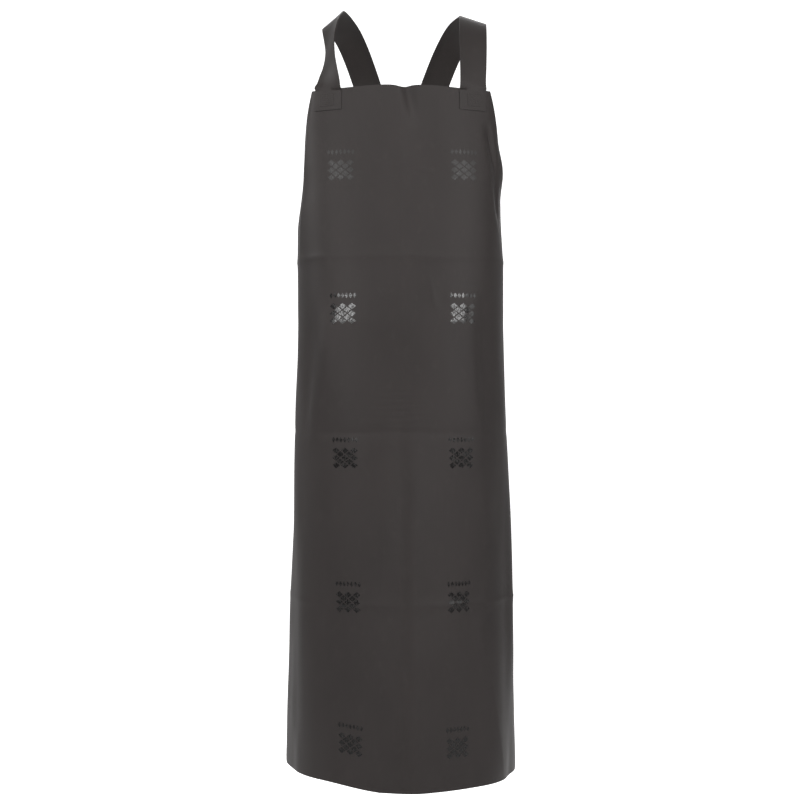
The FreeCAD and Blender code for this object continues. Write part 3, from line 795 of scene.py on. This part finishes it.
def make_softbox(name, azimuth, elevation, distance, size, power):
    """A rectangular softbox that faces the middle of the apron."""
    data = bpy.data.lights.new(name, "AREA")
    data.shape = "RECTANGLE"
    data.size, data.size_y = size
    data.energy = power
    lamp = bpy.data.objects.new(name, data)
    lamp.visible_camera = False
    a, e = math.radians(azimuth), math.radians(elevation)
    direction = np.array((math.sin(a) * math.cos(e), -math.cos(a) * math.cos(e), math.sin(e)))
    lamp.location = APRON_MIDDLE + direction * distance
    lamp.rotation_euler = (math.radians(90) - e, 0, a)
    bpy.context.collection.objects.link(lamp)


def glow_node(nodes, links, value, from_range, to_range):
    """Maps one range of a value to another with a soft start and end."""
    node = nodes.new("ShaderNodeMapRange")
    node.interpolation_type = "SMOOTHSTEP"
    for name, number in zip(("From Min", "From Max", "To Min", "To Max"), from_range + to_range):
        node.inputs[name].default_value = number
    links.new(value, node.inputs["Value"])
    return node.outputs[0]


def make_stage():
    """A pale floor that curves up into a backdrop, which lights the apron from a wedge behind it."""
    radius, half_width, front_y, back_y, wall_top = 1.6, 45.0, -45.0, 4.6, 12.0
    profile = [(front_y, 0.0), (back_y - radius, 0.0)]
    profile += [(back_y - radius + radius * math.sin(a), radius - radius * math.cos(a))
                for a in np.radians(np.linspace(0, 90, 17))]
    profile.append((back_y, wall_top))
    points = [(x, y, FLOOR_Z + z) for y, z in profile for x in (-half_width, half_width)]
    faces = [(2 * i, 2 * i + 1, 2 * i + 3, 2 * i + 2) for i in range(len(profile) - 1)]
    mesh = bpy.data.meshes.new("backdrop")
    mesh.from_pydata(points, [], faces)
    mesh.polygons.foreach_set("use_smooth", [True] * len(mesh.polygons))
    stage = bpy.data.objects.new("backdrop", mesh)
    bpy.context.collection.objects.link(stage)
    material, nodes, links, shader = new_material("backdrop_paper")
    shader.inputs["Base Color"].default_value = (0.75, 0.75, 0.75, 1)
    shader.inputs["Roughness"].default_value = 0.9
    shader.inputs["Emission Color"].default_value = (1, 1, 1, 1)
    place = nodes.new("ShaderNodeTexCoord")
    split = nodes.new("ShaderNodeSeparateXYZ")
    links.new(place.outputs["Object"], split.inputs[0])
    sideways = math_node(nodes, links, "ABSOLUTE", split.outputs["X"])
    behind = glow_node(nodes, links, split.outputs["Y"], (0.10, 0.70), (0.0, 1.0))
    spread = math_node(nodes, links, "DIVIDE", sideways,
                       math_node(nodes, links, "ADD", split.outputs["Y"], LIT_WEDGE_TIP))
    central = glow_node(nodes, links, spread, (0.228, 0.30), (0.90, 0.06))
    wedge = math_node(nodes, links, "MULTIPLY", behind, central)
    seen = nodes.new("ShaderNodeLightPath").outputs["Is Camera Ray"]
    pale = math_node(nodes, links, "MULTIPLY", seen, PALE)
    links.new(math_node(nodes, links, "MAXIMUM", wedge, pale), shader.inputs["Emission Strength"])
    mesh.materials.append(material)


def make_lights():
    """A pale room and soft lamps: two in front, one above, one at each side and one behind."""
    world = bpy.data.worlds.new("studio")
    bpy.context.scene.world = world
    world.use_nodes = True
    nodes, links = world.node_tree.nodes, world.node_tree.links
    nodes["Background"].inputs["Color"].default_value = (1, 1, 1, 1)
    seen = nodes.new("ShaderNodeLightPath").outputs["Is Camera Ray"]
    strength = math_node(nodes, links, "MULTIPLY_ADD", seen, PALE, ROOM_LIGHT)
    links.new(strength, nodes["Background"].inputs["Strength"])
    for name, azimuth in (("softbox_left", -35), ("softbox_right", 35)):
        make_softbox(name, azimuth, 11.4, 3.0, (1.10, 0.55), 21)
    make_softbox("softbox_top", 0, 44, 2.4, (2.4, 1.2), 25)
    make_softbox("side_light_left", -92, 25, 2.2, (0.6, 0.6), 13)
    make_softbox("side_light_right", 66, 10, 2.4, (0.9, 1.2), 8)
    make_softbox("back_light", 172, 30, 3.0, (2.0, 1.4), 34)


# ---- everything together ----

bpy.context.scene.view_settings.view_transform = "Standard"

PANEL_FILM = film_material("panel_film_satin", (0.031, 0.0257, 0.0246))
STRAP_MATERIAL = film_material("strap_film_satin", (0.032, 0.0270, 0.0258))
PANEL_INSIDE = backing_material()
GLOSS_INK = gloss_material("gloss_ink", 0.42, 0.66)
# the top row's ink: rough and film-coloured over more of its area than the rest, so that row looks duller
# and lighter
TOP_ROW_INK = gloss_material("gloss_ink_top_row", 0.20, 0.50)
ACETAL = buckle_material()

make_panel(PANEL_FILM, PANEL_INSIDE)
make_marks(GLOSS_INK, TOP_ROW_INK)
for side_name, side_sign in SIDES.items():
    make_shoulder_strap(side_name, side_sign, STRAP_MATERIAL)
    make_strap_end(side_name, side_sign, STRAP_MATERIAL)
    make_side_tab(side_name, side_sign, STRAP_MATERIAL)
    make_weld_pad(side_name, side_sign, STRAP_MATERIAL)
    make_patch(side_name + "_bib_backing", side_sign * strap_flat_s(), 0.002, 0.040, PANEL_FILM,
               side_name + "_bib_patch")
    make_patch(side_name + "_waist_backing", side_sign * WAIST_PATCH_S, 0.404, 0.448, PANEL_FILM,
               side_name + "_waist_patch")
    for part in ("buckle_socket", "buckle_plug", "plug_prongs", "adjuster"):
        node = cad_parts[side_name + "_" + part]
        node.data.materials.clear()
        node.data.materials.append(ACETAL)

make_stage()
make_lights()
make_camera()
